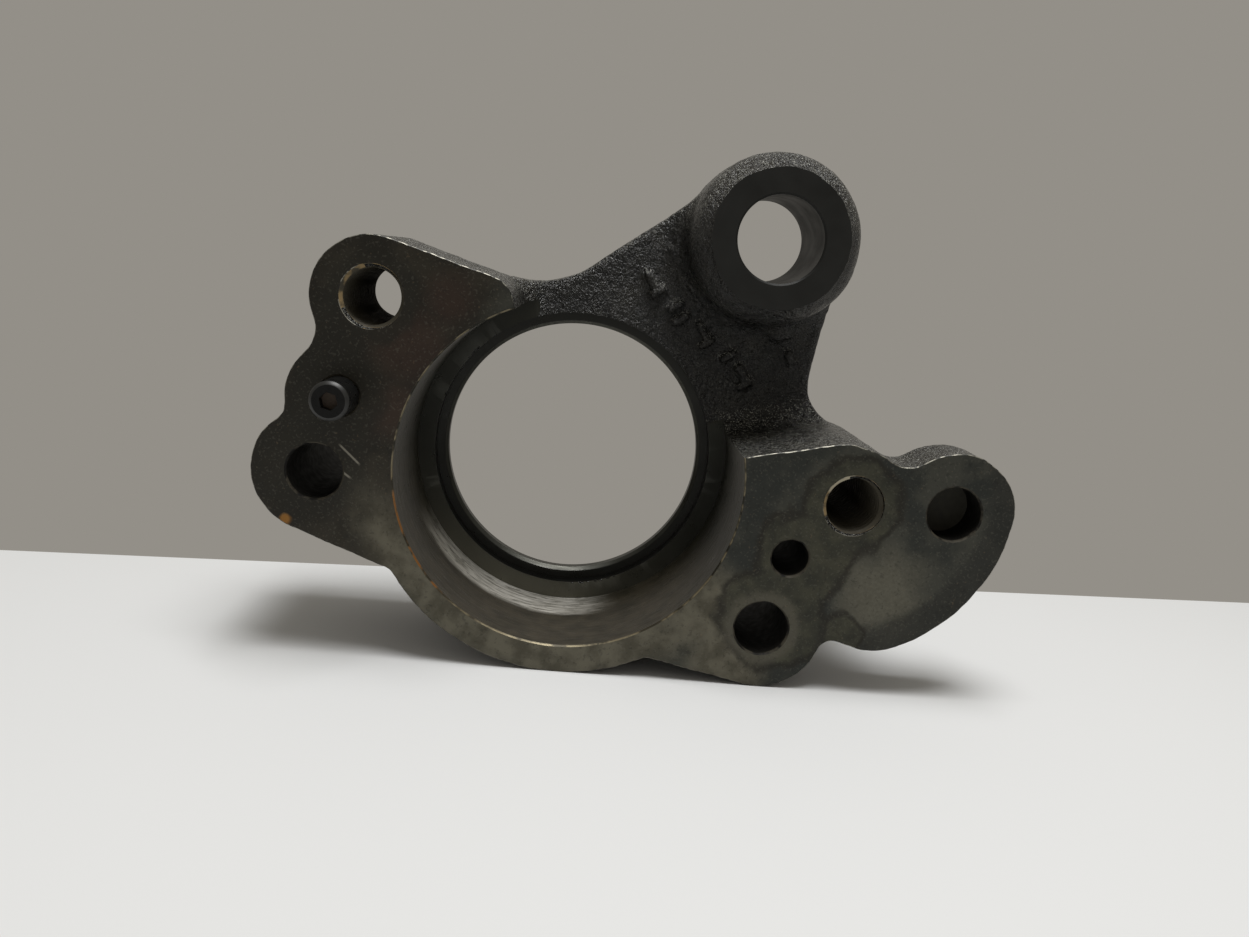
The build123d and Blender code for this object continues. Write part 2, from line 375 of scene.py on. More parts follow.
@dataclass
class Casting:
    """The rough casting: stock left on every machined face, edges rounded by the mould."""

    layout: Layout
    face_stock: float = 3.0
    bore_stock: float = 4.0
    hole_stock: float = 3.0
    grain_mm: float = 0.94
    rounding_passes: int = 5
    coarse_wave: float = 0.32
    fine_wave: float = 0.15
    coarse_per_m: float = 90.0
    fine_per_m: float = 420.0
    hub_depth: float = 58.0
    eye_face: float = 19.0
    blind_depth: float = 13.5
    web_depth: float = 50.0
    mark_rise: float = 2.8
    mark_width: float = 2.4

    def build(self) -> bpy.types.Object:
        """Make the rough casting.

        Returns:
            The casting's object.
        """
        rough = new_object("bearing_housing", frame["nodes"]["housing"].data.copy())
        self.leave_stock(rough.data)
        self.raise_marks(rough.data)
        remesh = rough.modifiers.new("mould", "REMESH")
        remesh.mode = "VOXEL"
        remesh.voxel_size = self.grain_mm * MM
        smooth = rough.modifiers.new("rounding", "SMOOTH")
        smooth.factor = 0.5
        smooth.iterations = self.rounding_passes
        settle(rough)
        self.roughen(rough.data)
        log.info("rough casting: %d polygons", len(rough.data.polygons))
        return rough

    def leave_stock(self, mesh: bpy.types.Mesh) -> None:
        """Move machined faces outwards and close the bores in, so that cutters can reach them.

        Args:
            mesh: The part's exact mesh, changed in place.
        """
        points = points_of(mesh)
        plan = self.layout.plan(points)
        depth = plan[:, 2].copy()
        plan[depth < 1.6, 2] -= self.face_stock
        plan[depth > self.hub_depth - 0.1, 2] += self.face_stock / 2
        for name, reach in WALL_REACH.items():
            self.close_in(plan, self.layout.place(name), reach, self.hole_stock)
        for at in bolt_places(self.layout):
            self.close_in(plan, at, BOLT_WALL_REACH, self.hole_stock)
        self.close_in(plan, (0.0, 0.0), radius_of("bearing_seat") + 1.2, self.bore_stock)
        on_eye = self.near(plan, "eye_bore", 23) & (abs(depth - self.eye_face) < 0.7)
        plan[on_eye, 2] -= self.face_stock / 2
        on_floor = self.near(plan, "lobe_blind_hole", 9) & (abs(depth - self.blind_depth) < 0.1)
        plan[on_floor, 2] -= 2
        moved = [self.layout.world(*p) for p in plan]
        put_points(mesh, np.array(moved))

    def near(self, plan: np.ndarray, name: str, reach: float) -> np.ndarray:
        """Flag the points less than reach from a mount's axis."""
        u, v = self.layout.place(name)
        return np.hypot(plan[:, 0] - u, plan[:, 1] - v) < reach

    def raise_marks(self, mesh: bpy.types.Mesh) -> None:
        """Lay the foundry's plain raised bars and pips on the web, for the mould to soften.

        Args:
            mesh: The casting's mesh, added to in place.
        """
        shape = bmesh.new()
        shape.from_mesh(mesh)
        for mark in MARKS:
            lean = math.radians(mark.lean)
            along = Vector((math.cos(lean), math.sin(lean))) * mark.length / 2
            across = Vector((-math.sin(lean), math.cos(lean))) * self.mark_width / 2
            ring = [Vector(mark.at) + sign * along + side * across
                    for sign, side in ((-1, -1), (1, -1), (1, 1), (-1, 1))]
            rows = [[shape.verts.new(self.layout.world(*p, depth)) for p in ring]
                    for depth in (self.web_depth - self.mark_rise, self.web_depth + 2)]
            shape.faces.new(rows[0])
            shape.faces.new(rows[1][::-1])
            for i in range(4):
                j = (i + 1) % 4
                shape.faces.new((rows[0][i], rows[1][i], rows[1][j], rows[0][j]))
        bmesh.ops.recalc_face_normals(shape, faces=shape.faces)
        shape.to_mesh(mesh)
        shape.free()

    @staticmethod
    def close_in(plan: np.ndarray, at: tuple[float, float], reach: float, by: float) -> None:
        """Shrink a hole's wall towards its axis.

        Args:
            plan: Points on the layout, changed in place.
            at: The hole's axis.
            reach: How far out its wall and chamfer lie.
            by: How much to shrink by.
        """
        du, dv = plan[:, 0] - at[0], plan[:, 1] - at[1]
        r = np.hypot(du, dv)
        wall = (r < reach) & (r > 1e-6)
        plan[wall, 0] -= (du / np.maximum(r, 1e-6) * by)[wall]
        plan[wall, 1] -= (dv / np.maximum(r, 1e-6) * by)[wall]

    def roughen(self, mesh: bpy.types.Mesh) -> None:
        """Push the skin in and out the way sand leaves it.

        Args:
            mesh: The casting's mesh, changed in place.
        """
        points = points_of(mesh)
        flat = np.empty(len(points) * 3, np.float32)
        mesh.vertices.foreach_get("normal", flat)
        normals = flat.reshape(-1, 3)
        push = np.empty(len(points))
        for i, p in enumerate(points):
            at = Vector(p)
            push[i] = (self.coarse_wave * noise.noise(at * self.coarse_per_m)
                       + self.fine_wave * noise.noise(at * self.fine_per_m))
        put_points(mesh, points + normals * (push * MM)[:, None])


@dataclass
class Housing:
    """The finished housing: the casting after every cut, with a finish for each surface."""

    layout: Layout
    casting: Casting
    hub_depth: float = 58.0
    eye_face: float = 19.0
    blind_depth: float = 13.5
    relief_r: float = 49.0
    relief_depth: float = 55.0
    lip: float = 1.2
    spot_r: float = 15.0
    spot_cut: float = 0.6
    thread_pitch: float = 2.5
    thread_major: float = 10.0
    edge_break: float = 0.22
    cutters: list[Turning] = field(default_factory=list)

    def describe_cuts(self) -> None:
        """List every turned cut, from the record's own sizes."""
        seat, pilot = radius_of("bearing_seat"), radius_of("pilot_bore")
        step = mount("bearing_seat")["dims"]["length_mm"] + 0.5
        past = self.hub_depth + 4
        lip_top = self.relief_depth - self.lip
        self.cutters = [
            Turning("bore_cut", (0.0, 0.0), [
                (0, -5), (seat + 5.5, -5), (seat + 0.5, 0), (seat, 0.5), (seat, step), (seat - 0.6, step),
                (self.relief_r, step), (self.relief_r, lip_top), (pilot + self.lip, lip_top),
                (pilot, self.relief_depth), (pilot, past), (0, past),
            ], Skin.SEAT, facets=288),
            self.hole("eye_cut", "eye_bore", self.eye_face, past, 0.6, finish=Skin.EYE, facets=128),
            self.hole("blind_cut", "lobe_blind_hole", 0.0, self.blind_depth),
            self.hole("dowel_cut", "right_dowel_hole", 0.0, past),
            self.hole("pin_hole_cut", "locating_pin_end", 0.0, past, 0.7),
        ]
        for name in ("left_tapped_hole", "right_tapped_hole"):
            self.cutters.append(self.hole(name + "_cut", name, 0.0, past, 1.2,
                                          pitch=self.thread_pitch, major=self.thread_major))
        spot = self.hub_depth - self.spot_cut
        bolt_r = mount("lower_bolts")["dims"]["hole_r_mm"]
        for side, at in zip(("left", "right"), bolt_places(self.layout)):
            self.cutters.append(drilled(side + "_bolt_cut", at, bolt_r, 0.0, past))
            self.cutters.append(Turning(side + "_spot_cut", at, [
                (0, spot), (self.spot_r, spot), (self.spot_r, past), (0, past)], Skin.BACK))
        self.cutters.append(Turning("eye_face_cut", self.layout.place("eye_bore"), [
            (0, 4), (40, 4), (40, self.eye_face), (0, self.eye_face)], Skin.EYE))

    def hole(self, name: str, at: str, mouth: float, bottom: float, chamfer: float = 0.5,
             **rest: object) -> Turning:
        """Describe the drilled cut of a mount.

        Args:
            name: What the cut is called.
            at: The mount's name.
            mouth: Depth of the face it is drilled from.
            bottom: Depth where it ends.
            chamfer: Width of the chamfer.
            **rest: Any other field of the turning.

        Returns:
            The turned cutter.
        """
        return drilled(name, self.layout.place(at), radius_of(at), mouth, bottom, chamfer, **rest)

    def slab(self, name: str, near: float, far: float) -> bpy.types.Object:
        """Make a wide slab that faces the part off.

        Args:
            name: What to call it.
            near: Depth where it starts.
            far: Depth where it ends.

        Returns:
            The slab's object.
        """
        shape = bmesh.new()
        bmesh.ops.create_cube(shape, size=1.0)
        bmesh.ops.scale(shape, vec=(0.6, (far - near) * MM, 0.6), verts=shape.verts)
        bmesh.ops.translate(shape, vec=(0, (near + far) / 2 * MM, 0), verts=shape.verts)
        mesh = bpy.data.meshes.new(name)
        shape.to_mesh(mesh)
        shape.free()
        return new_object(name, mesh)

    def cut(self, body: bpy.types.Object, tool: bpy.types.Object) -> None:
        """Take tool's shape away from body, and drop the tool.

        Args:
            body: What is cut, changed in place.
            tool: The closed cutter.
        """
        step = body.modifiers.new(tool.name, "BOOLEAN")
        step.operation = "DIFFERENCE"
        step.solver = "MANIFOLD"
        step.object = tool
        settle(body)
        bpy.data.objects.remove(tool)

    def build(self) -> bpy.types.Object:
        """Cut the casting to size and sort its surfaces by finish.

        Returns:
            The housing's object.
        """
        body = self.casting.build()
        self.describe_cuts()
        self.cut(body, self.slab("front_facing", -12, 0))
        self.cut(body, self.slab("rear_facing", self.hub_depth, self.hub_depth + 12))
        for tool in self.cutters:
            self.cut(body, tool.build(self.layout))
            log.info("%s: %d polygons left", tool.name, len(body.data.polygons))
        self.break_front_edge(body.data)
        self.sort_surfaces(body.data)
        return body

    def break_front_edge(self, mesh: bpy.types.Mesh) -> None:
        """Chamfer the outer edge between the cast wall and the front face.

        Args:
            mesh: The machined mesh, changed in place.
        """
        shape = bmesh.new()
        shape.from_mesh(mesh)
        everything = shape.verts[:] + shape.edges[:] + shape.faces[:]
        bmesh.ops.bisect_plane(shape, geom=everything, dist=1e-7,
                               plane_co=(0, self.edge_break * MM, 0), plane_no=(0, 1, 0))
        shape.normal_update()
        shifts: dict[bmesh.types.BMVert, Vector] = {}
        for vert in shape.verts:
            if abs(vert.co.y) > 1e-6:
                continue
            walls = [f.normal for f in vert.link_faces if abs(f.normal.y) < 0.5]
            if not walls:
                continue
            out = sum(walls, Vector())
            out.y = 0
            u, v, _ = self.layout.plan(np.array([vert.co]))[0]
            turned = any(math.hypot(u - t.at[0], v - t.at[1]) < t.outline[2][0] + 0.4
                         for t in self.cutters if t.finish in (Skin.HOLE, Skin.SEAT))
            if out.length > 1e-6 and not turned:
                shifts[vert] = out.normalized()
        for vert, out in shifts.items():
            vert.co -= out * self.edge_break * MM
        shape.to_mesh(mesh)
        shape.free()

    def sort_surfaces(self, mesh: bpy.types.Mesh) -> None:
        """Give every polygon the finish of the cut that made it, or the cast skin.

        Args:
            mesh: The machined mesh, changed in place.
        """
        count = len(mesh.polygons)
        centres = np.empty(count * 3, np.float32)
        mesh.polygons.foreach_get("center", centres)
        plan = self.layout.plan(centres.reshape(-1, 3).astype(float))
        finish = np.full(count, int(Skin.CAST))
        for tool in self.cutters:
            finish[tool.wears(plan)] = int(tool.finish)
        front = abs(plan[:, 2]) < 0.01
        finish[front] = int(Skin.FACE)
        finish[(plan[:, 2] < self.edge_break) & ~front & (finish == Skin.CAST)] = int(Skin.EDGE)
        finish[abs(plan[:, 2] - self.hub_depth) < 0.01] = int(Skin.BACK)
        mesh.materials.clear()
        for look in LOOKS:
            mesh.materials.append(look.make())
        mesh.polygons.foreach_set("material_index", finish.astype(np.int32))
        mesh.polygons.foreach_set("use_smooth", np.ones(count, bool))
        mesh.set_sharp_from_angle(angle=math.radians(32))
        log.info("finishes: %s", {s.name: int((finish == s).sum()) for s in Skin})


# ---- finishes -----------------------------------------------------------------------------------

Socket = bpy.types.NodeSocket
Tone = tuple[float, float, float]


def tone(red: int, green: int, blue: int) -> Tone:
    """Turn a colour as the eye names it, 0 to 255, into linear light."""
    return tuple(((c / 255 + 0.055) / 1.055) ** 2.4 if c > 10 else c / 255 / 12.92
                 for c in (red, green, blue))


class Recipe:
    """A material's nodes, written as small steps. Places and sizes are in millimetres on the layout."""

    def __init__(self, name: str, standing: float) -> None:
        """Start a material.

        Args:
            name: What the material is called.
            standing: The angle that the layout is turned by.
        """
        self.material = bpy.data.materials.new(name)
        self.material.use_nodes = True
        self.tree = self.material.node_tree
        self.shader = self.tree.nodes["Principled BSDF"]
        coords = self.tree.nodes.new("ShaderNodeTexCoord")
        turn = self.tree.nodes.new("ShaderNodeMapping")
        turn.inputs["Rotation"].default_value = (0, -standing, 0)
        turn.inputs["Scale"].default_value = (1 / MM,) * 3
        self.tree.links.new(coords.outputs["Object"], turn.inputs["Vector"])
        self.at = turn.outputs["Vector"]
        self.upward = self.add("ShaderNodeSeparateXYZ", {0: coords.outputs["Normal"]}).outputs[2]
        split = self.add("ShaderNodeSeparateXYZ", {0: self.at})
        self.u, self.depth, self.v = (split.outputs[i] for i in range(3))

    def add(self, kind: str, inputs: dict, **settings: object) -> bpy.types.Node:
        """Add one node.

        Args:
            kind: The node's type.
            inputs: Sockets or constants by input name or index.
            **settings: The node's own properties.

        Returns:
            The node.
        """
        node = self.tree.nodes.new(kind)
        for key, value in settings.items():
            setattr(node, key, value)
        for key, value in inputs.items():
            if isinstance(value, bpy.types.NodeSocket):
                self.tree.links.new(value, node.inputs[key])
            else:
                node.inputs[key].default_value = value
        return node

    def sum(self, operation: str, a: Socket | float, b: Socket | float = 0.0) -> Socket:
        """Do arithmetic on one or two values."""
        return self.add("ShaderNodeMath", {0: a, 1: b}, operation=operation).outputs[0]

    def times(self, a: Socket | float, b: Socket | float) -> Socket:
        """Multiply two values."""
        return self.sum("MULTIPLY", a, b)

    def tint(self, colour: Socket, shade: Socket | Tone, mask: Socket, share: Socket | float) -> Socket:
        """Lay a shade over a colour where a mask is, as strongly as share says."""
        return self.mix(self.times(mask, share), colour, shade)

    def grain(self, size: float, detail: float = 4.0, stretch: Tone = (1, 1, 1),
              seed: float = 0.0) -> Socket:
        """Make soft noise.

        Args:
            size: Size of its patches, in millimetres.
            detail: How many finer layers ride on it.
            stretch: Scale along u, depth and v, above 1 for finer.
            seed: Shifts the pattern.

        Returns:
            The noise, 0 to 1.
        """
        kind = "ShaderNodeVectorMath"
        place = self.add(kind, {0: self.at, 1: stretch}, operation="MULTIPLY").outputs[0]
        if seed:
            place = self.add(kind, {0: place, 1: (seed, seed, seed)}, operation="ADD").outputs[0]
        inputs = {"Vector": place, "Scale": 1 / size, "Detail": detail}
        return self.add("ShaderNodeTexNoise", inputs).outputs[0]

    def between(self, value: Socket, low: float, high: float,
                out: tuple[float, float] = (0.0, 1.0)) -> Socket:
        """Ramp a value smoothly from low to high."""
        return self.add("ShaderNodeMapRange", {0: value, 1: low, 2: high, 3: out[0], 4: out[1]},
                        interpolation_type="SMOOTHSTEP").outputs[0]

    def mix(self, share: Socket | float, first: Socket | Tone, second: Socket | Tone) -> Socket:
        """Mix two colours.

        Args:
            share: How much of the second, 0 to 1.
            first: The colour below.
            second: The colour above.

        Returns:
            The mixed colour.
        """
        first, second = ((*c, 1.0) if isinstance(c, tuple) else c for c in (first, second))
        node = self.add("ShaderNodeMix", {"Factor": share}, data_type="RGBA")
        for socket, value in ((node.inputs[6], first), (node.inputs[7], second)):
            if isinstance(value, bpy.types.NodeSocket):
                self.tree.links.new(value, socket)
            else:
                socket.default_value = value
        return node.outputs[2]

    def reach(self, at: tuple[float, float], wander: float = 0.0) -> Socket:
        """Measure from a place on the layout.

        Args:
            at: The place.
            wander: How far the measure drifts either way, in millimetres.

        Returns:
            The distance.
        """
        gap = self.sum("SUBTRACT", self.u, at[0]), self.sum("SUBTRACT", self.v, at[1])
        squares = [self.times(g, g) for g in gap]
        far = self.sum("SQRT", self.sum("ADD", *squares))
        if not wander:
            return far
        drift = self.sum("SUBTRACT", self.grain(9.0, 3.0, seed=at[0]), 0.5)
        return self.sum("ADD", far, self.times(drift, 2 * wander))

    def blot(self, at: tuple[float, float], radius: float, soft: float = 1.5,
             wander: float = 3.0) -> Socket:
        """Make a round blot: 1 inside, 0 outside, its edge soft and wandering."""
        return self.between(self.reach(at, wander), radius - soft, radius + soft, (1.0, 0.0))

    def union(self, masks: Iterable[Socket]) -> Socket:
        """Join several masks into one."""
        return reduce(lambda joined, mask: self.sum("MAXIMUM", joined, mask), masks)

    def finish(self, colour: Socket | Tone, roughness: Socket | float, metallic: float,
               height: Socket | None = None, bump_mm: float = 0.1,
               specular: float = 0.5) -> bpy.types.Material:
        """Connect the shader.

        Args:
            colour: Base colour.
            roughness: Roughness.
            metallic: How metallic, constant.
            height: The surface's relief, 0 to 1.
            bump_mm: How tall that relief is.
            specular: Specular level, constant.

        Returns:
            The finished material.
        """
        for name, value in (("Base Color", colour), ("Roughness", roughness)):
            socket = self.shader.inputs[name]
            if isinstance(value, bpy.types.NodeSocket):
                self.tree.links.new(value, socket)
            else:
                socket.default_value = (*value, 1.0) if isinstance(value, tuple) else value
        self.shader.inputs["Metallic"].default_value = metallic
        self.shader.inputs["Specular IOR Level"].default_value = specular
        if height is not None:
            inputs = {"Strength": 1.0, "Distance": bump_mm * MM, "Height": height}
            bump = self.add("ShaderNodeBump", inputs)
            self.tree.links.new(bump.outputs[0], self.shader.inputs["Normal"])
        return self.material


@dataclass(frozen=True)
class Look:
    """One finish: a name and the steps that make it."""

    name: str
    steps: Callable[[Recipe], bpy.types.Material]

    def make(self) -> bpy.types.Material:
        """Make the material."""
        return self.steps(Recipe(self.name, LAYOUT.standing))


def cast_skin(sheet: Recipe) -> bpy.types.Material:
    """Black, oily sand-cast skin with a coarse glinting grain, and glints painted into its colour on
    upward-facing surfaces.

    Args:
        sheet: The recipe to write on.

    Returns:
        The finished material.
    """
    grit = sheet.grain(0.6, 3.0)
    lumps = sheet.grain(2.2, 4.0, seed=7.0)
    dust = sheet.between(sheet.grain(16.0, 5.0, seed=3.0), 0.46, 0.68)
    colour = sheet.mix(sheet.between(lumps, 0.35, 0.65), tone(8, 8, 7), tone(22, 21, 18))
    colour = sheet.tint(colour, tone(48, 45, 37), dust, 0.35)
    # painted glints: light specks in the base colour, strongest on upward-facing surfaces that face the
    # overhead lamp
    glints = sheet.between(sheet.grain(0.55, 2.0, seed=23.0), 0.55, 0.66)
    painted_glints = sheet.times(glints, sheet.between(sheet.upward, -0.1, 0.6, (0.10, 1.0)))
    colour = sheet.tint(colour, tone(146, 146, 138), painted_glints, 0.8)
    roughness = sheet.between(sheet.grain(4.0, 3.0, seed=11.0), 0.3, 0.7, (0.14, 0.34))
    height = sheet.sum("ADD", sheet.times(grit, 0.45), sheet.times(lumps, 0.9))
    return sheet.finish(colour, roughness, 0.0, height, 1.6, specular=0.45)


def front_face(sheet: Recipe) -> bpy.types.Material:
    """Machined front face, stained by an old gasket, lighter in places, with painted bounce light low
    down.

    Args:
        sheet: The recipe to write on.

    Returns:
        The finished material.
    """
    right_tap, left_tap = LAYOUT.place("right_tapped_hole"), LAYOUT.place("left_tapped_hole")
    mottle = sheet.grain(7.0, 6.0)
    fine = sheet.grain(0.9, 4.0, seed=5.0)
    patchy = sheet.between(sheet.grain(13.0, 5.0, seed=31.0), 0.40, 0.62)
    colour = sheet.mix(patchy, tone(38, 40, 36), tone(58, 58, 51))
    left = sheet.between(sheet.u, -46.0, -34.0, (1.0, 0.0))
    colour = sheet.mix(left, colour, sheet.mix(patchy, tone(30, 27, 20), tone(44, 40, 31)))
    rust = sheet.union([sheet.blot((-60, 22), 11, 6), sheet.blot((-58, 2), 8, 5),
                        sheet.blot((-53, 40), 7, 5)])
    colour = sheet.tint(colour, tone(54, 38, 30), rust, 0.6)
    old_ring = sheet.union([sheet.blot(left_tap, 14, 2), sheet.blot((-75, 0), 14, 3),
                            sheet.blot((-84, 14), 13, 3), sheet.blot((-78, -24), 18, 3)])
    ring_tone = sheet.mix(mottle, tone(24, 22, 16), tone(38, 36, 28))
    colour = sheet.tint(colour, ring_tone, old_ring, 0.8)
    # painted bounce light: the face painted lighter low down around the bore and in two lower patches,
    # for light thrown up from the bench
    low = sheet.between(sheet.v, -40.0, -16.0, (1.0, 0.0))
    painted_bounce_light = sheet.times(low, sheet.between(sheet.reach((0, 0), 3.0), 74, 60))
    painted_bounce_light = sheet.union([painted_bounce_light, sheet.blot((55, -26), 14, 7), sheet.blot((68, -40), 13, 6)])
    bounce_light_tone = sheet.mix(sheet.between(mottle, 0.35, 0.65), tone(70, 66, 53), tone(102, 98, 84))
    colour = sheet.tint(colour, bounce_light_tone, painted_bounce_light, 0.9)
    stain = sheet.union([sheet.blot(right_tap, 15.5, 2.4, 5.0), sheet.blot((79, 2), 15.5, 2.4, 5.0),
                         sheet.blot((77, -21), 17.0, 2.6, 5.0), sheet.blot((101, -19), 7.0, 2.0, 5.0)])
    patch = sheet.blot((107, -1), 13.0, 7.0, 5.0)
    patch_tone = sheet.mix(fine, tone(74, 72, 61), tone(106, 103, 90))
    colour = sheet.tint(colour, patch_tone, patch, 0.8)
    rim = sheet.times(sheet.between(sheet.reach((83.2, 27.0), 3.0), 44.0, 49.0),
                      sheet.between(sheet.u, 92.0, 100.0))
    colour = sheet.tint(colour, tone(34, 34, 30), rim, 0.65)
    deep = sheet.mix(sheet.between(mottle, 0.3, 0.7), tone(38, 38, 29), tone(64, 63, 50))
    colour = sheet.tint(colour, deep, stain, 0.9)
    line = sheet.times(sheet.times(stain, sheet.sum("SUBTRACT", 1.0, stain)), 4.0)
    colour = sheet.tint(colour, tone(24, 20, 13), line, 0.7)
    halo = sheet.between(sheet.reach((75, -25), 2.0), 10.5, 14.0, (1.0, 0.0))
    colour = sheet.tint(colour, tone(96, 92, 80), halo, 0.45)
    speck = sheet.between(sheet.grain(1.3, 3.0, seed=21.0), 0.66, 0.74)
    colour = sheet.tint(colour, tone(118, 100, 78), speck, 0.22)
    for size, low, seed, share, shade in ((0.8, 0.58, 27.0, 0.16, tone(104, 102, 92)),
                                          (1.1, 0.60, 29.0, 0.30, tone(18, 17, 14))):
        grains = sheet.between(sheet.grain(size, 2.0, seed=seed), low, low + 0.08)
        colour = sheet.tint(colour, shade, grains, share)
    dirt = sheet.blot((-79, -42.5), 1.8, 0.8, 2.5)
    colour = sheet.tint(colour, tone(150, 104, 44), dirt, 0.8)
    for at, lean in (((-67.7, -21.9), 0.35), ((-66.3, -16.3), 0.5)):
        across = sheet.sum("ADD", sheet.sum("SUBTRACT", sheet.v, at[1]),
                           sheet.times(sheet.sum("SUBTRACT", sheet.u, at[0]), lean))
        thin = sheet.between(sheet.sum("ABSOLUTE", across), 0.15, 0.5, (1.0, 0.0))
        scratch = sheet.times(thin, sheet.blot(at, 4.0, 0.8, 1.0))
        colour = sheet.tint(colour, tone(138, 134, 122), scratch, 0.7)
    roughness = sheet.between(mottle, 0.25, 0.75, (0.36, 0.58))
    height = sheet.sum("ADD", sheet.times(fine, 0.6), sheet.grain(0.35, 2.0, (1.0, 1.0, 6.0)))
    return sheet.finish(colour, roughness, 0.35, height, 0.025, specular=0.35)


def bearing_seat(sheet: Recipe) -> bpy.types.Material:
    """Turned bore: brown mouth, painted highlight low in the seat, dark shoulder with painted light and
    shade, painted shade in the groove and a pale lip.

    Args:
        sheet: The recipe to write on.

    Returns:
        The finished material.
    """
    streak = sheet.grain(3.0, 5.0, (0.4, 3.0, 0.4))
    mottle = sheet.grain(6.0, 5.0, seed=4.0)
    brown = sheet.mix(sheet.between(mottle, 0.2, 0.8), tone(46, 43, 33), tone(74, 68, 55))
    highlight_tone = sheet.mix(sheet.between(streak, 0.35, 0.65), tone(165, 162, 152), tone(222, 219, 211))
    wander = sheet.sum("ADD", sheet.depth, sheet.times(sheet.grain(14.0, 3.0), 3.0))
    sides = sheet.between(sheet.v, -38.0, 0.0)
    brown = sheet.mix(sides, brown, sheet.mix(mottle, tone(26, 26, 20), tone(44, 42, 33)))
    # painted highlight: past about 30 mm deep the seat is painted bright only at the bottom of the bore,
    # where the overhead light falls
    wear_and_highlight = sheet.times(sheet.between(wander, 29.5, 34.0), sheet.blot((-8, -58), 34, 10, 5.0))
    colour = sheet.mix(wear_and_highlight, brown, highlight_tone)
    scuff = sheet.between(sheet.grain(2.2, 4.0, (0.6, 1.0, 0.6), seed=17.0), 0.58, 0.68)
    colour = sheet.tint(colour, tone(60, 55, 44), scuff, 0.5)
    # painted light and shade: the shoulder painted lighter at the bottom where light reaches it, darker
    # higher up in shade
    shoulder_shading = sheet.mix(sheet.between(sheet.v, -60.0, -10.0), tone(84, 83, 74), tone(38, 38, 32))
    colour = sheet.mix(sheet.between(sheet.depth, 48.3, 48.45), colour, shoulder_shading)
    # painted shade: the relief groove behind the lip painted near black
    colour = sheet.mix(sheet.between(sheet.depth, 48.6, 49.0), colour, tone(16, 16, 14))
    colour = sheet.mix(sheet.between(sheet.depth, 53.6, 54.2), colour, tone(62, 62, 56))
    pale_mouth = sheet.between(sheet.depth, 0.25, 0.6, (1.0, 0.0))
    patchy = sheet.between(sheet.grain(4.0, 4.0, seed=13.0), 0.42, 0.60)
    colour = sheet.tint(colour, tone(132, 122, 98), pale_mouth, sheet.times(patchy, 0.8))
    orange = sheet.times(sheet.blot((-42, -36), 19, 5, 6.0),
                         sheet.between(sheet.depth, 0.4, 0.9, (1.0, 0.0)))
    colour = sheet.tint(colour, tone(140, 92, 42), orange, sheet.times(patchy, 0.9))
    roughness = sheet.between(streak, 0.2, 0.8, (0.24, 0.44))
    return sheet.finish(colour, roughness, 0.6, sheet.grain(0.5, 2.0, (0.1, 3.0, 0.1)), 0.02)


def drilled_hole(sheet: Recipe) -> bpy.types.Material:
    """Dark drilled walls, their mouths bronze at the tapped holes and rubbed grey elsewhere.

    Args:
        sheet: The recipe to write on.

    Returns:
        The finished material.
    """
    mottle = sheet.grain(2.0, 5.0)
    colour = sheet.mix(mottle, tone(6, 6, 5), tone(24, 22, 18))
    mouth = sheet.between(sheet.depth, 0.9, 1.5, (1.0, 0.0))
    bronze = sheet.union([sheet.blot(LAYOUT.place(name), 11.0, 0.5, 0.0)
                          for name in ("left_tapped_hole", "right_tapped_hole")])
    colour = sheet.tint(colour, tone(84, 79, 66), bronze, 0.55)
    wear_and_highlight = sheet.mix(bronze, tone(66, 62, 52), tone(140, 120, 86))
    patchy = sheet.between(sheet.grain(3.5, 4.0, seed=9.0), 0.40, 0.58)
    colour = sheet.tint(colour, wear_and_highlight, mouth, sheet.times(patchy, 0.85))
    u, v = LAYOUT.place("right_tapped_hole")
    chips = sheet.times(sheet.blot((u - 6.5, v + 6.0), 5.0, 0.8, 2.0),
                        sheet.between(sheet.depth, 1.0, 2.4, (1.0, 0.0)))
    colour = sheet.tint(colour, tone(176, 168, 146), chips, 0.85)
    blind = sheet.times(sheet.blot(LAYOUT.place("lobe_blind_hole"), 9.5, 0.3, 0.0),
                        sheet.between(sheet.depth, 13.2, 13.4))
    colour = sheet.mix(blind, colour, sheet.mix(mottle, tone(44, 43, 38), tone(72, 70, 62)))
    roughness = sheet.between(mottle, 0.2, 0.8, (0.55, 0.75))
    return sheet.finish(colour, roughness, 0.0, mottle, 0.04, specular=0.2)


def eye_finish(sheet: Recipe) -> bpy.types.Material:
    """Faced and bored eye: even dark grey with a faint lathe pattern.

    Args:
        sheet: The recipe to write on.

    Returns:
        The finished material.
    """
    turn = sheet.grain(0.6, 2.0, seed=2.0)
    mottle = sheet.grain(9.0, 5.0)
    colour = sheet.mix(mottle, tone(16, 16, 14), tone(30, 30, 27))
    inner = sheet.between(sheet.depth, 19.7, 20.5)
    colour = sheet.tint(colour, tone(40, 40, 36), inner, 0.6)
    roughness = sheet.between(mottle, 0.2, 0.8, (0.42, 0.6))
    return sheet.finish(colour, roughness, 0.1, turn, 0.02, specular=0.3)


def worn_edge(sheet: Recipe) -> bpy.types.Material:
    """Edge rubbed light in places, partly a painted highlight of edges catching the lamp, with dirt left
    in the low spots.

    Args:
        sheet: The recipe to write on.

    Returns:
        The finished material.
    """
    dirt = sheet.between(sheet.grain(2.4, 4.0), 0.42, 0.56)
    # the light edge colour is partly real wear and partly a painted highlight of edges catching the lamp
    colour = sheet.mix(dirt, tone(126, 123, 112), tone(30, 29, 24))
    return sheet.finish(colour, 0.4, 0.5, sheet.grain(0.5), 0.05)


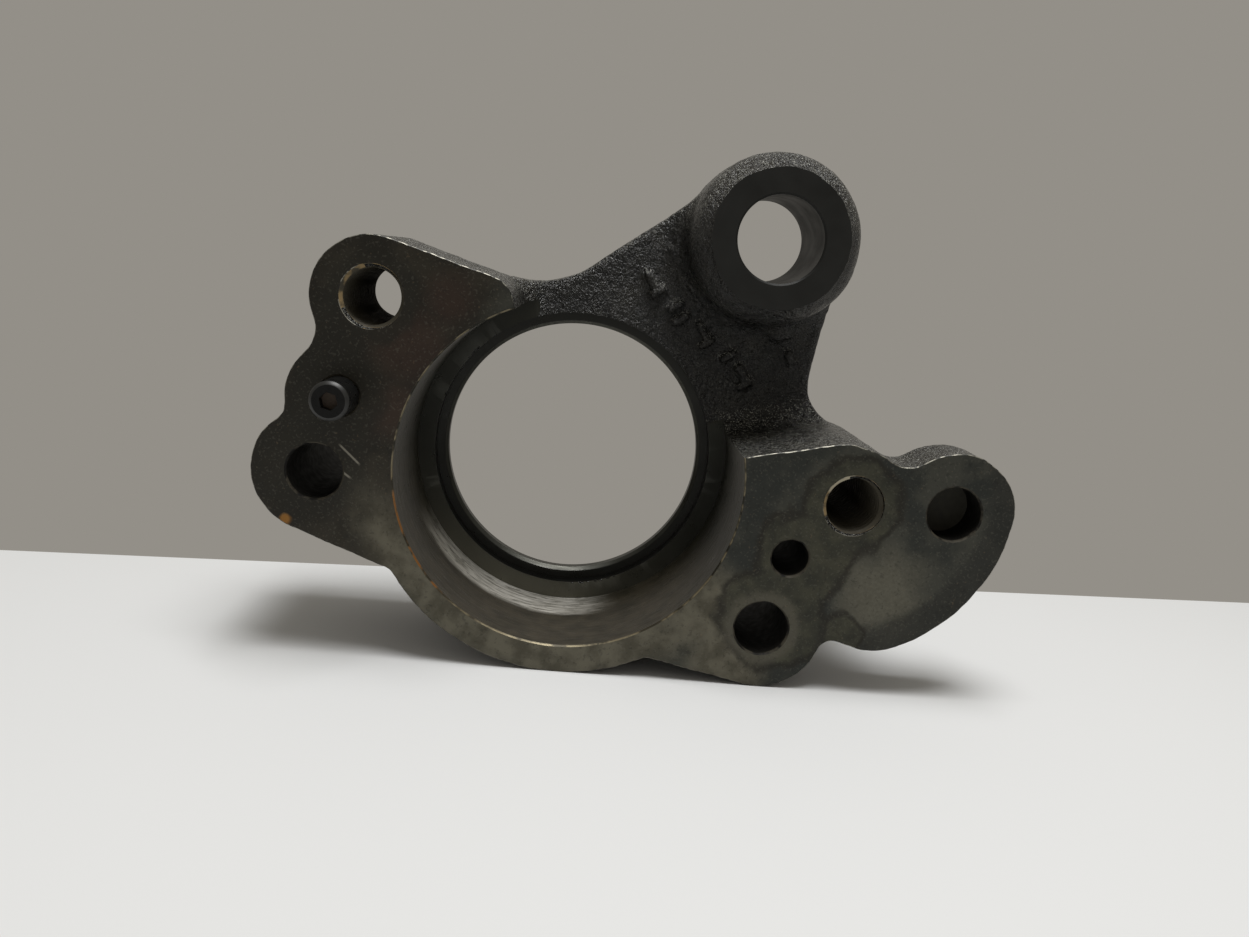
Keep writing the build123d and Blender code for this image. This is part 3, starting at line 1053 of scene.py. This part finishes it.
def rear_faces(sheet: Recipe) -> bpy.types.Material:
    """Plain machined back faces, oily grey with feed lines.

    Args:
        sheet: The recipe to write on.

    Returns:
        The finished material.
    """
    mottle = sheet.grain(10.0, 5.0)
    colour = sheet.mix(sheet.between(mottle, 0.2, 0.8), tone(48, 47, 42), tone(66, 64, 57))
    lines = sheet.grain(0.5, 2.0, (4.0, 1.0, 0.4))
    roughness = sheet.between(mottle, 0.2, 0.8, (0.32, 0.5))
    return sheet.finish(colour, roughness, 0.5, lines, 0.02)


def black_oxide(sheet: Recipe) -> bpy.types.Material:
    """Black oxide steel, a little oily.

    Args:
        sheet: The recipe to write on.

    Returns:
        The finished material.
    """
    mottle = sheet.grain(1.6, 4.0)
    colour = sheet.mix(mottle, tone(12, 12, 12), tone(26, 26, 25))
    roughness = sheet.between(mottle, 0.2, 0.8, (0.24, 0.4))
    return sheet.finish(colour, roughness, 0.0, sheet.grain(0.3), 0.01, specular=0.12)


def nose_ring(sheet: Recipe) -> bpy.types.Material:
    """The pin's chamfer, its oxide thinned by handling.

    Args:
        sheet: The recipe to write on.

    Returns:
        The finished material.
    """
    mottle = sheet.grain(1.4, 4.0, seed=6.0)
    return sheet.finish(sheet.mix(mottle, tone(26, 26, 25), tone(46, 46, 44)), 0.4, 0.3)


def socket_floor(sheet: Recipe) -> bpy.types.Material:
    """Dry brown dirt in the pin's socket.

    Args:
        sheet: The recipe to write on.

    Returns:
        The finished material.
    """
    mottle = sheet.grain(1.0, 4.0)
    colour = sheet.mix(mottle, tone(58, 48, 40), tone(84, 72, 61))
    return sheet.finish(colour, 0.8, 0.0, mottle, 0.05)


def pale_paint(sheet: Recipe) -> bpy.types.Material:
    """Plain pale bench.

    Args:
        sheet: The recipe to write on.

    Returns:
        The finished material.
    """
    return sheet.finish(tone(216, 217, 217), 0.6, 0.0)


LOOKS = (
    Look("cast_skin", cast_skin),
    Look("front_face", front_face),
    Look("bearing_seat", bearing_seat),
    Look("drilled_hole", drilled_hole),
    Look("eye_finish", eye_finish),
    Look("worn_edge", worn_edge),
    Look("rear_faces", rear_faces),
)
PIN_LOOKS = (
    Look("black_oxide", black_oxide),
    Look("nose_ring", nose_ring),
    Look("socket_floor", socket_floor),
)
LAYOUT = Layout.from_record()


# ---- the pin and the room -----------------------------------------------------------------------


@dataclass
class LocatingPin:
    """The locating pin: a ground shank with a groove behind its nose and a hexagon socket."""

    layout: Layout
    radius: float = 6.0
    proud: float = 13.0
    seated: float = 24.0
    nose: float = 0.9
    groove_at: float = 3.2
    groove_width: float = 1.2
    groove_depth: float = 0.45
    socket_flats: float = 5.0
    socket_depth: float = 3.0

    def build(self) -> bpy.types.Object:
        """Make the pin.

        Returns:
            The pin's object.
        """
        top, bottom = -self.proud, self.seated
        neck = top + self.groove_at
        soft = 0.15
        full, tip, waist = self.radius, self.radius - self.nose, self.radius - self.groove_depth
        outline = [
            (0, top), (tip - soft, top), (tip, top + soft / 2),
            (full - soft / 2, top + self.nose), (full, top + self.nose + soft), (full, neck),
            (waist, neck + soft), (waist, neck + self.groove_width - soft),
            (full, neck + self.groove_width),
            (full, bottom - self.nose), (tip, bottom), (0, bottom),
        ]
        at = self.layout.place("locating_pin_end")
        pin = Turning("locating_pin_steel", at, outline, facets=96).build(self.layout)
        corner, floor = self.socket_flats / math.sqrt(3), top + self.socket_depth
        tool = Turning("socket", at, [(0, top - 1), (corner, top - 1), (corner, floor), (0, floor)],
                       facets=6).build(self.layout)
        step = pin.modifiers.new("socket", "BOOLEAN")
        step.operation, step.solver, step.object = "DIFFERENCE", "MANIFOLD", tool
        settle(pin)
        bpy.data.objects.remove(tool)
        self.dress(pin.data, top)
        return pin

    def dress(self, mesh: bpy.types.Mesh, top: float) -> None:
        """Give the shank, the rubbed nose and the socket's floor their finishes.

        Args:
            mesh: The pin's mesh.
            top: Depth of its nose.
        """
        mesh.materials.clear()
        for look in PIN_LOOKS:
            mesh.materials.append(look.make())
        at = self.layout.place("locating_pin_end")
        for face in mesh.polygons:
            u, v, depth = self.layout.plan(np.array([face.center]))[0]
            r = math.hypot(u - at[0], v - at[1])
            if abs(depth - top - self.socket_depth) < 0.05 and r < self.socket_flats:
                face.material_index = 2
            elif top + 0.01 < depth < top + self.nose + 0.1 and r > self.radius - self.nose - 0.2:
                face.material_index = 1
        mesh.polygons.foreach_set("use_smooth", np.ones(len(mesh.polygons), bool))
        mesh.set_sharp_from_angle(angle=math.radians(25))


@dataclass
class Room:
    """A plain pale bench that ends behind the part, in a grey room with soft overhead light."""

    floor_z: float
    edge_behind: float = 0.1067
    edge_turn: float = 6.92
    reach: float = 3.2
    grey: Tone = (0.292, 0.275, 0.246)

    def build(self) -> None:
        """Make the bench, the lights and the grey surroundings."""
        shape = bmesh.new()
        bmesh.ops.create_grid(shape, x_segments=1, y_segments=1, size=self.reach / 2)
        bmesh.ops.translate(shape, vec=(0, -self.reach / 2, 0), verts=shape.verts)
        mesh = bpy.data.meshes.new("bench")
        shape.to_mesh(mesh)
        shape.free()
        bench = new_object("bench", mesh)
        turn = Matrix.Rotation(math.radians(self.edge_turn), 4, "Z")
        bench.matrix_world = Matrix.Translation((0, self.edge_behind, self.floor_z)) @ turn
        mesh.materials.append(Look("bench_paint", pale_paint).make())
        self.light("overhead", (0.10, -0.10, 1.0), (0.0, 0.0, 0.0), 0.5, 11.0)
        world = bpy.data.worlds.new("soft_room")
        bpy.context.scene.world = world
        world.use_nodes = True
        world.node_tree.nodes["Background"].inputs[0].default_value = (*self.grey, 1.0)
        world.node_tree.nodes["Background"].inputs[1].default_value = 1.0

    def light(self, name: str, place: Tone, aim: Tone, size: float, power: float) -> None:
        """Hang one soft lamp.

        Args:
            name: The lamp's name.
            place: Where it hangs.
            aim: What it points at.
            size: Its width, in metres.
            power: Its power, in watts.
        """
        lamp = bpy.data.lights.new(name, "AREA")
        lamp.size, lamp.energy = size, power
        item = bpy.data.objects.new(name, lamp)
        bpy.context.scene.collection.objects.link(item)
        item.location = place
        item.rotation_euler = (Vector(aim) - Vector(place)).to_track_quat("-Z", "Y").to_euler()


@dataclass
class Viewpoint:
    """The camera: where it stands, which way it looks and how far it leans."""

    place: Tone = (0.0017, -0.3184, 0.0676)
    heading: float = 2.717
    dip: float = 11.151
    lean: float = 5.3
    lens_mm: float = 29.98

    def build(self) -> None:
        """Make the camera and set it as the scene's own."""
        data = bpy.data.cameras.new("camera")
        data.lens, data.sensor_width, data.sensor_fit = self.lens_mm, 36.0, "HORIZONTAL"
        data.clip_start = 0.01
        item = bpy.data.objects.new("camera", data)
        bpy.context.scene.collection.objects.link(item)
        heading = Matrix.Rotation(-math.radians(self.heading), 4, "Z")
        dip = Matrix.Rotation(math.radians(90 - self.dip), 4, "X")
        lean = Matrix.Rotation(math.radians(self.lean), 4, "Z")
        item.matrix_world = Matrix.Translation(self.place) @ heading @ dip @ lean
        bpy.context.scene.camera = item


def main() -> None:
    """Build the pieces in order, the room and the camera."""
    logging.basicConfig(level=logging.INFO, format="%(message)s")
    housing = Housing(LAYOUT, Casting(LAYOUT)).build()
    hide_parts("housing")
    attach(housing, "root")
    log.info("housing: %d polygons", len(housing.data.polygons))
    pin = LocatingPin(LAYOUT).build()
    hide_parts("locating_pin")
    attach(pin, "root")
    log.info("locating pin: %d polygons", len(pin.data.polygons))
    Room(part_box("housing")[0].z).build()
    Viewpoint().build()
    bpy.context.scene.view_settings.view_transform = "Standard"


if __name__ == "__main__":
    main()
